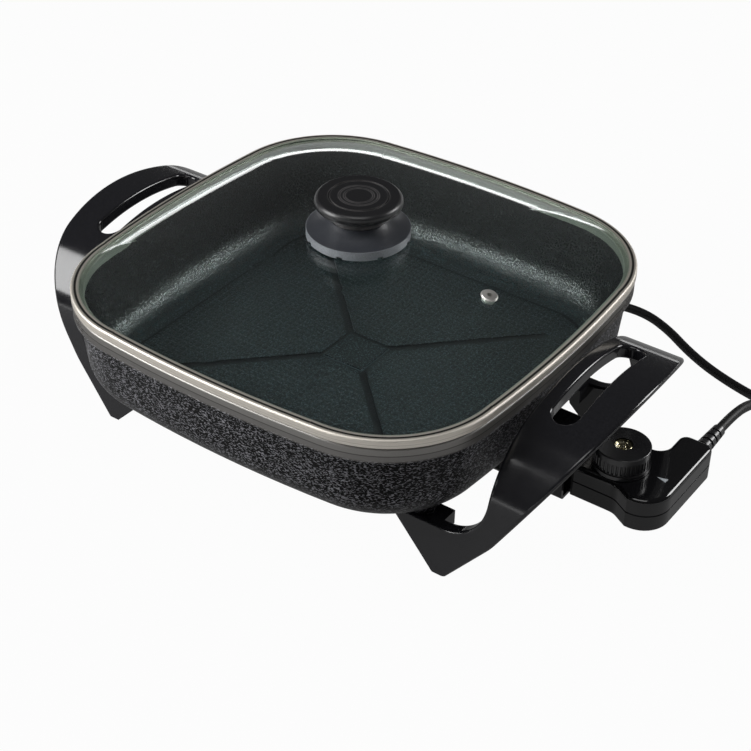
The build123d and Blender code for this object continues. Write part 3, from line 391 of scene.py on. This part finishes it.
def enamel_strokes(tree, spot, height):
    """Hammered enamel: strokes about 0.6 mm high and 1.6 mm long. Returns them full, and faded at random
    and by painted shade at the foot.
    """
    squeeze = {"Vector": spot, "Scale": (1.0, 1.0, STROKES_CLOSER)}
    drawn = node(tree, "ShaderNodeMapping", squeeze).outputs[0]
    worm = noise(tree, drawn, STROKES, 0.5, Roughness=0.5, Distortion=0.6)
    fleck = ranged(tree, worm, 0.56, 0.62, interpolation_type="SMOOTHSTEP")
    patch = ranged(tree, noise(tree, spot, 150.0, 2.0), 0.35, 0.65, 0.65, 1.0)
    # painted shade: the strokes fade, and the wall darkens, where it turns under away from the light
    foot = ranged(tree, height, STROKES_FAINT, STROKES_FULL, 0.25, 1.0)
    return fleck, maths(tree, "MULTIPLY", fleck, maths(tree, "MULTIPLY", patch, foot))


def machined_rim(tree, height):
    """The rim's colour: a little darker below, paler under the lid as painted light against the lid's
    shadow, a dark line between.
    """
    # painted light: the rim is paler under the lid, lifting the shade that the lid casts on it
    tone = tinted(tree, ranged(tree, height, RIM_PALER_FROM, RIM_PALER_FULL), "#868482", "#94928f")
    line = ranged(tree, beside(tree, height, RIM_LINE), 0.0002, 0.0005, 0.6, 0.0)
    return tinted(tree, line, tone, "#23211f")


def floor_marks(tree, plan, height, coating):
    """The coating with the floor's lines in it, with painted shade in the grooves and along the line round
    the field. Returns that, and the line round the field alone.
    """
    groove_shade = ranged(tree, height, GROOVE_DEEP, GROOVE_TOP, 1.0, 0.0)
    across = vectors(tree, "ABSOLUTE", plan)
    straight = FIELD_HALF - FIELD_CORNER
    past = vectors(tree, "SUBTRACT", across, (straight, straight, 0))
    reach = measure(tree, "LENGTH", vectors(tree, "MAXIMUM", past, (0, 0, 0)))
    shaded_border = ranged(tree, beside(tree, reach, FIELD_CORNER + BORDER_OUT), 0.0006, 0.0018, 0.8, 0.0)
    # painted shade: darker in the grooves and along the line that borders the embossed field
    shaded = tinted(tree, maths(tree, "MAXIMUM", groove_shade, shaded_border), coating, "#070a0e")
    # a pale line runs round inside the middle square
    sides = apart(tree, across)
    widest = maths(tree, "MAXIMUM", sides[0], sides[1])
    square = ranged(tree, beside(tree, widest, SQUARE_LINE), 0.0002, 0.0007, 0.55, 0.0)
    return tinted(tree, square, shaded, "#4c5a60"), shaded_border


def hammered_pan():
    """Cast aluminium: hammered black enamel outside, a satin machined rim, non-stick inside."""
    made, tree, shader, place = finish_start(
        "enamelled_cast_aluminium", IOR=1.5, Specular_IOR_Level=0.65)
    spot, normal = place.outputs["Object"], place.outputs["Normal"]
    height = apart(tree, spot)[2]
    plan = flattened(tree, spot)
    # the inside faces the middle or is the floor; the rim is the outer band at the top
    inward = maths(tree, "LESS_THAN", measure(tree, "DOT_PRODUCT", plan, normal), -0.001)
    level = maths(tree, "GREATER_THAN", apart(tree, normal)[2], 0.5)
    low = maths(tree, "LESS_THAN", height, FLOOR_BELOW)
    inside = maths(tree, "MAXIMUM", inward, maths(tree, "MULTIPLY", level, low))
    high = ranged(tree, height, RIM_FROM, RIM_FULL, interpolation_type="SMOOTHSTEP")
    rim = maths(tree, "SUBTRACT", high, inside, clamp=True)
    fleck, shaded_flecks = enamel_strokes(tree, spot, height)
    # the strokes on black, darkened at the foot by painted shade
    outer = tinted(tree, shaded_flecks, "#020203", "#96969c")
    shade = tinted(tree, rim, outer, machined_rim(tree, height))
    coating, grit = nonstick_look(tree, spot)
    marked, shaded_border = floor_marks(tree, plan, height, coating)
    # the walls are a neutral charcoal, the floor a bluer one
    wall_coat = tinted(tree, grit, "#0c0c0d", "#242526")
    coat = tinted(tree, ranged(tree, height, WALL_FROM, WALL_FULL), marked, wall_coat)
    tree.links.new(tinted(tree, inside, shade, coat), shader.inputs["Base Color"])
    tree.links.new(maths(tree, "MULTIPLY", rim, 0.75), shader.inputs["Metallic"])
    # the coating is rougher on the floor than on the walls
    grainy = ranged(tree, grit, 0.35, 0.65, 0.36, 0.20)
    on_floor = ranged(tree, height, FLOOR_GLOSS_FROM, FLOOR_GLOSS_TO, 0.16, 0.0)
    inner = maths(tree, "ADD", grainy, on_floor)
    tree.links.new(between(tree, inside, 0.38, inner), shader.inputs["Roughness"])
    # the black between the strokes and the line round the floor shine less
    shine = tinted(tree, shaded_flecks, "#181818", "#ffffff")
    dull = tinted(tree, shaded_border, "#ffffff", "#707070")
    tree.links.new(tinted(tree, inside, shine, dull), shader.inputs["Specular Tint"])
    # strokes and grain stand up, and the rim is smooth
    stroke_rise = maths(tree, "MULTIPLY", fleck, 2.6)
    grain_rise = maths(tree, "MULTIPLY", grit, 1.8)
    swell = between(tree, inside, stroke_rise, grain_rise)
    off_rim = maths(tree, "SUBTRACT", 1.0, rim)
    bumped(tree, shader, maths(tree, "MULTIPLY", swell, off_rim), 0.5, 0.0004)
    return made


def nonstick_embossing():
    """The same coating on the floor's raised squares."""
    made, tree, shader, place = finish_start("nonstick_coating", Roughness=0.46, IOR=1.5)
    coating, grit = nonstick_look(tree, place.outputs["Object"])
    tree.links.new(coating, shader.inputs["Base Color"])
    bumped(tree, shader, grit, 0.5, 0.0004)
    return made


def moulded_black(name, colour, roughness, grain, depth, patch=0.06, shine=0.5):
    """Moulded black phenolic: deep black, with the mould's faint grain in its gloss."""
    made, tree, shader, place = finish_start(name, IOR=1.58, Specular_IOR_Level=shine)
    spot = place.outputs["Object"]
    mottle = noise(tree, spot, 45.0, 3.0)
    gloss = ranged(tree, mottle, 0.3, 0.7, roughness - patch, roughness + patch)
    tree.links.new(gloss, shader.inputs["Roughness"])
    fine = noise(tree, spot, grain, 2.0)
    paler = [min(1.0, 1.6 * c + 0.002) for c in linear(colour)[:3]] + [1.0]
    body = tinted(tree, ranged(tree, fine, 0.3, 0.7), colour, paler)
    tree.links.new(body, shader.inputs["Base Color"])
    bumped(tree, shader, fine, 0.3, depth)
    return made


# Radii on the knob's skirt between which the flare turns into the band round its edge
SKIRT_FLARE, SKIRT_BAND = 0.0323, 0.0326


def flared_skirt():
    """Moulded grey phenolic: a soft gloss on the flare, and a paler, duller band round its edge."""
    made, tree, shader, place = finish_start("grey_phenolic", IOR=1.58, Specular_IOR_Level=0.95)
    spot = place.outputs["Object"]
    edge = ranged(tree, from_axis(tree, spot), SKIRT_FLARE, SKIRT_BAND)
    fine = noise(tree, spot, 1200.0, 2.0)
    flare = tinted(tree, fine, "#2a2c31", "#3e4147")
    band = tinted(tree, fine, "#55585d", "#888b91")
    tree.links.new(tinted(tree, edge, flare, band), shader.inputs["Base Color"])
    tree.links.new(between(tree, edge, 0.30, 0.45), shader.inputs["Roughness"])
    bumped(tree, shader, fine, 0.3, 0.00002)
    return made


def bare_metal(name, colour, roughness):
    """Bare metal: glossy, with a slow unevenness that softens it in places."""
    made, tree, shader, place = finish_start(name, Metallic=1.0, Base_Color=linear(colour))
    uneven = noise(tree, place.outputs["Object"], 60.0, 3.0)
    gloss = ranged(tree, uneven, 0.3, 0.7, roughness * 0.6, roughness * 1.5)
    tree.links.new(gloss, shader.inputs["Roughness"])
    bumped(tree, shader, uneven, 0.06, 0.0002)
    return made


def lid_glass():
    """Toughened soda-lime glass: clear with a faint green, and lamps shine through it."""
    made, tree, shader, place = finish_start(
        "toughened_glass", Base_Color=linear("#eef6f5"), Roughness=0.0, IOR=1.5,
        Transmission_Weight=1.0)
    clear = node(tree, "ShaderNodeBsdfTransparent", {0: linear("#eef5f3")})
    ray = node(tree, "ShaderNodeLightPath")
    both = node(
        tree, "ShaderNodeMixShader",
        {0: ray.outputs["Is Shadow Ray"], 1: shader.outputs[0], 2: clear.outputs[0]})
    tree.links.new(both.outputs[0], tree.nodes["Material Output"].inputs["Surface"])
    bumped(tree, shader, noise(tree, place.outputs["Object"], 9.0, 1.0), 0.02, 0.0008)
    return made


def speckled(name, colour, other, scale, roughness, **values):
    """A moulded, fired, painted or blown piece: two close colours in fine grains, a little uneven."""
    made, tree, shader, place = finish_start(name, Roughness=roughness, **values)
    grains = noise(tree, place.outputs["Object"], scale, 2.0, Roughness=0.6)
    body = tinted(tree, ranged(tree, grains, 0.4, 0.62), colour, other)
    tree.links.new(body, shader.inputs["Base Color"])
    bumped(tree, shader, grains, 0.3, 0.0001)
    return made


pan_finish = hammered_pan()
handle_black = moulded_black("moulded_phenolic", "#151518", 0.13, 900.0, 0.00001, 0.03)
housing_black = moulded_black("polished_phenolic", "#0e0e10", 0.10, 1400.0, 0.00001, 0.03)
knob_black = moulded_black("satin_phenolic", "#1a1a1c", 0.29, 1200.0, 0.00003, shine=0.8)
skirt_grey = flared_skirt()
band_steel = lid_band()
eyelet_steel = bare_metal("polished_stainless", "#f6f3ee", 0.34)
sheath = bare_metal("oxidised_sheath_steel", "#6d675f", 0.4)
zinc = bare_metal("zinc_plated_steel", "#b9bbbd", 0.25)
brass = bare_metal("contact_brass", "#c9a45a", 0.28)
glass = lid_glass()
ceramic = speckled("steatite_ceramic", "#d8cfbd", "#e6dfd0", 800.0, 0.6, IOR=1.6)
rubber = speckled("silicone_rubber", "#1a1a1b", "#262627", 900.0, 0.6)
cord_black = speckled("cord_rubber", "#0c0c0d", "#19191a", 1500.0, 0.5)
tie_black = speckled("nylon_tie", "#101011", "#1c1c1d", 700.0, 0.45)
plug_black = speckled("moulded_plug_pvc", "#0e0e0f", "#1b1b1c", 1100.0, 0.5)
lens = pilot_lens()
cap_black = ringed_cap()
lamp = speckled("neon_lamp_glass", "#d8c8b8", "#e4d8cc", 400.0, 0.1, Transmission_Weight=0.8, IOR=1.5)

FINISHES = {
    pan_finish: ("pan_body",),
    handle_black: ("right_handle", "left_handle", "socket_guard"),
    housing_black: ("control_upper_housing", "control_lower_housing", "lamp_holder"),
    cap_black: ("knob_cap",),
    knob_black: ("dial_knob", "strain_relief"),
    skirt_grey: ("knob_skirt",),
    band_steel: ("lid_rim",),
    eyelet_steel: ("vent_grommet",),
    sheath: ("heating_element", "sensor_rod"),
    zinc: ("terminal_pins", "guard_screws", "right_handle_screws", "left_handle_screws", "knob_screw",
           "knob_washer", "housing_screws", "thermostat_bracket", "dial_retainer"),
    brass: ("socket_contacts", "contact_leaves", "plug_pins"),
    glass: ("lid_glass",),
    ceramic: ("pin_insulators", "ceramic_spacers"),
    rubber: ("knob_gasket", "knob_seal"),
    tie_black: ("cord_tie",),
    plug_black: ("plug_body",),
    lens: ("pilot_lens",),
    lamp: ("pilot_lamp",),
}
for finish, names in FINISHES.items():
    for name in names:
        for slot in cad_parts[name].material_slots:
            slot.material = finish

mains_cord(cord_black)


def pointer_mark():
    """The pointer on the control's top, a small plate of silvery paint with rounded edges."""
    tip, tail, half = 0.2195, 0.2260, 0.0019
    middle, low, high = 0.0015, 0.05448, 0.05456
    mesh = bpy.data.meshes.new("pointer_mark")
    corners = [(tip, middle), (tail, middle - half), (tail, middle + half)]
    mesh.from_pydata(
        [(x, y, low) for x, y in corners] + [(x, y, high) for x, y in corners], [],
        [(2, 1, 0), (3, 4, 5), (0, 1, 4, 3), (1, 2, 5, 4), (2, 0, 3, 5)])
    mark = bpy.data.objects.new("pointer_mark", mesh)
    scene.collection.objects.link(mark)
    soften = mark.modifiers.new("soften", "BEVEL")
    soften.width = 0.00003
    soften.segments = 2
    mesh.materials.append(speckled("silver_paint", "#c3cbd2", "#e0e6ea", 900.0, 0.4))
    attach(mark, "control")


pointer_mark()

# Embossed floor: the raised squares' side, rise and depth in the floor, and how far they narrow upwards
EMBOSSED_SIDE, EMBOSSED_RISE, EMBOSSED_SUNK = 0.0037, 0.0002, 0.0001
EMBOSSED_TAPER = 0.72
HALF_DIAGONAL = math.sqrt(0.5)


def embossed_tree():
    """Geometry tree: a field of raised squares, left out along the grooves and in the middle."""
    tree = bpy.data.node_groups.new("embossed_floor", "GeometryNodeTree")
    tree.interface.new_socket("Geometry", in_out="OUTPUT", socket_type="NodeSocketGeometry")
    sizes = ("Field half", "Corner radius", "Cell", "Square", "Rise", "Sunk", "Groove half", "Middle half",
             "Floor height")
    for name in sizes:
        tree.interface.new_socket(name, in_out="INPUT", socket_type="NodeSocketFloat")
    tree.interface.new_socket("Coating", in_out="INPUT", socket_type="NodeSocketMaterial")
    given = node(tree, "NodeGroupInput").outputs
    # a grid with a point for each square
    span = maths(tree, "MULTIPLY", given["Field half"], 2.0)
    whole = maths(tree, "FLOOR", maths(tree, "DIVIDE", span, given["Cell"]))
    count = maths(tree, "ADD", whole, 1.0)
    side = maths(tree, "MULTIPLY", whole, given["Cell"])
    grid = node(
        tree, "GeometryNodeMeshGrid",
        {"Size X": side, "Size Y": side, "Vertices X": count, "Vertices Y": count})
    # points on the diagonal grooves, on the middle square or outside the field are left out
    across = vectors(tree, "ABSOLUTE", node(tree, "GeometryNodeInputPosition").outputs[0])
    parts = apart(tree, across)
    off_groove = maths(tree, "MULTIPLY", beside(tree, parts[0], parts[1]), HALF_DIAGONAL)
    on_groove = maths(tree, "LESS_THAN", off_groove, given["Groove half"])
    widest = maths(tree, "MAXIMUM", parts[0], parts[1])
    on_square = maths(tree, "LESS_THAN", widest, given["Middle half"])
    straight = maths(tree, "SUBTRACT", given["Field half"], given["Corner radius"])
    past = vectors(tree, "SUBTRACT", across, straight)
    reach = measure(tree, "LENGTH", vectors(tree, "MAXIMUM", past, (0, 0, 0)))
    outside = maths(tree, "GREATER_THAN", reach, given["Corner radius"])
    left_out = maths(tree, "MAXIMUM", maths(tree, "MAXIMUM", on_groove, on_square), outside)
    kept = node(
        tree, "GeometryNodeDeleteGeometry", {"Geometry": grid.outputs["Mesh"], "Selection": left_out},
        domain="POINT")
    # one square, tapered, and set on each point that is kept
    broad = maths(tree, "MULTIPLY", given["Square"], HALF_DIAGONAL)
    narrow = maths(tree, "MULTIPLY", broad, EMBOSSED_TAPER)
    tall = maths(tree, "ADD", given["Rise"], given["Sunk"])
    pad = node(
        tree, "GeometryNodeMeshCone",
        {"Vertices": 4, "Radius Top": narrow, "Radius Bottom": broad, "Depth": tall}, fill_type="NGON")
    square = node(
        tree, "GeometryNodeTransform",
        {"Geometry": pad.outputs["Mesh"], "Rotation": (0, 0, math.radians(45))})
    spread = node(
        tree, "GeometryNodeInstanceOnPoints",
        {"Points": kept.outputs[0], "Instance": square.outputs[0]})
    foot = maths(tree, "SUBTRACT", given["Floor height"], given["Sunk"])
    lift = node(tree, "ShaderNodeCombineXYZ", {2: foot})
    placed = node(
        tree, "GeometryNodeTransform", {"Geometry": spread.outputs[0], "Translation": lift.outputs[0]})
    real = node(tree, "GeometryNodeRealizeInstances", {0: placed.outputs[0]})
    coated = node(
        tree, "GeometryNodeSetMaterial", {"Geometry": real.outputs[0], "Material": given["Coating"]})
    node(tree, "NodeGroupOutput", {0: coated.outputs[0]})
    return tree


def grown(name, tree, values, body):
    """Runs a geometry tree with its named inputs and keeps the result as a plain mesh on a body."""
    empty = bpy.data.meshes.new(name + "_start")
    piece = bpy.data.objects.new(name, empty)
    scene.collection.objects.link(piece)
    growth = piece.modifiers.new("growth", "NODES")
    growth.node_group = tree
    for socket in tree.interface.items_tree:
        if socket.in_out == "INPUT":
            growth[socket.identifier] = values[socket.name]
    bpy.context.view_layer.update()
    graph = bpy.context.evaluated_depsgraph_get()
    mesh = bpy.data.meshes.new_from_object(piece.evaluated_get(graph), depsgraph=graph)
    mesh.name = name
    piece.modifiers.remove(growth)
    piece.data = mesh
    bpy.data.meshes.remove(empty)
    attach(piece, body)


grown("floor_embossing", embossed_tree(), {
    "Field half": FIELD_HALF, "Corner radius": FIELD_CORNER, "Cell": FIELD_CELL, "Square": EMBOSSED_SIDE,
    "Rise": EMBOSSED_RISE, "Sunk": EMBOSSED_SUNK, "Groove half": GROOVE_HALF, "Middle half": SQUARE_HALF,
    "Floor height": FLOOR_Z, "Coating": nonstick_embossing(),
}, "pan")

# Stage: a pale floor, white to the camera, and soft boxes at the left, in front and at the right
TABLE_HALF, TABLE_Z = 4, -0.0003
TABLE_SEEN, TABLE_MIRRORED = 0.97, 0.2
BACKDROP_SEEN = 0.98
# The white strip along the horizon: the rise at which it starts to fade and is gone, and both strengths
STRIP_FADES, STRIP_GONE = 0.009, 0.022
STRIP_STRENGTH, OVERHEAD_STRENGTH = 2.6, 0.06
# Name, place, aim, width, height and power of each soft box
SOFTBOXES = (
    ("left_softbox", (-1.0, -1.0, 0.85), (-0.1, 0, 0.08), 0.9, 1.0, 24.0),
    ("front_softbox", (0.25, -0.55, 1.6), (0, 0, 0.05), 1.0, 0.7, 5.0),
    ("right_softbox", (1.15, 1.45, 1.05), (0.1, 0, 0.08), 0.6, 0.8, 16.0),
)


def straight_view(tree):
    """1 for rays from the camera, straight or through the glass alone."""
    ray = node(tree, "ShaderNodeLightPath").outputs
    direct = maths(tree, "MAXIMUM", ray["Is Camera Ray"], ray["Is Transmission Ray"])
    turned = maths(tree, "ADD", ray["Diffuse Depth"], ray["Glossy Depth"])
    return maths(tree, "SUBTRACT", direct, turned, clamp=True)


def white_table():
    """The floor of the stage: pale under the lamps, and white where it is seen directly."""
    mesh = bpy.data.meshes.new("table")
    far = TABLE_HALF
    mesh.from_pydata([(-far, -far, 0), (far, -far, 0), (far, far, 0), (-far, far, 0)], [], [(0, 1, 2, 3)])
    table = bpy.data.objects.new("table", mesh)
    table.location.z = TABLE_Z
    scene.collection.objects.link(table)
    made, tree, shader, _ = finish_start("pale_table", Base_Color=linear("#7c7c7c"), Roughness=0.8)
    white = node(tree, "ShaderNodeEmission", {"Color": (1, 1, 1, 1), "Strength": 1.0})
    direct = maths(tree, "MULTIPLY", straight_view(tree), TABLE_SEEN)
    # metal and glass mirror the white table too, dimmed so that black plastic stays black
    glossy = node(tree, "ShaderNodeLightPath").outputs["Is Glossy Ray"]
    share = maths(tree, "MAXIMUM", direct, maths(tree, "MULTIPLY", glossy, TABLE_MIRRORED))
    both = node(tree, "ShaderNodeMixShader", {0: share, 1: shader.outputs[0], 2: white.outputs[0]})
    tree.links.new(both.outputs[0], tree.nodes["Material Output"].inputs["Surface"])
    mesh.materials.append(made)


def studio_world():
    """White to the camera and through glass; to other rays a white strip low down, dim overhead."""
    world = bpy.data.worlds.new("studio")
    scene.world = world
    world.use_nodes = True
    tree = world.node_tree
    tree.nodes.clear()
    rise = apart(tree, node(tree, "ShaderNodeTexCoord").outputs["Generated"])[2]
    sweep = ranged(tree, rise, STRIP_FADES, STRIP_GONE, STRIP_STRENGTH, OVERHEAD_STRENGTH)
    backdrop = maths(tree, "MULTIPLY", straight_view(tree), BACKDROP_SEEN)
    strength = maths(tree, "MAXIMUM", backdrop, sweep)
    sky = node(tree, "ShaderNodeBackground", {"Color": (1, 1, 1, 1), "Strength": strength})
    node(tree, "ShaderNodeOutputWorld", {"Surface": sky.outputs[0]})


def softboxes():
    """The lamps, each turned towards its aim."""
    for name, where, aim, wide, tall, power in SOFTBOXES:
        data = bpy.data.lights.new(name, "AREA")
        data.shape = "RECTANGLE"
        data.size, data.size_y = wide, tall
        data.energy = power
        box = bpy.data.objects.new(name, data)
        scene.collection.objects.link(box)
        box.location = where
        box.rotation_euler = (Vector(aim) - Vector(where)).to_track_quat("-Z", "Y").to_euler()


white_table()
studio_world()
softboxes()
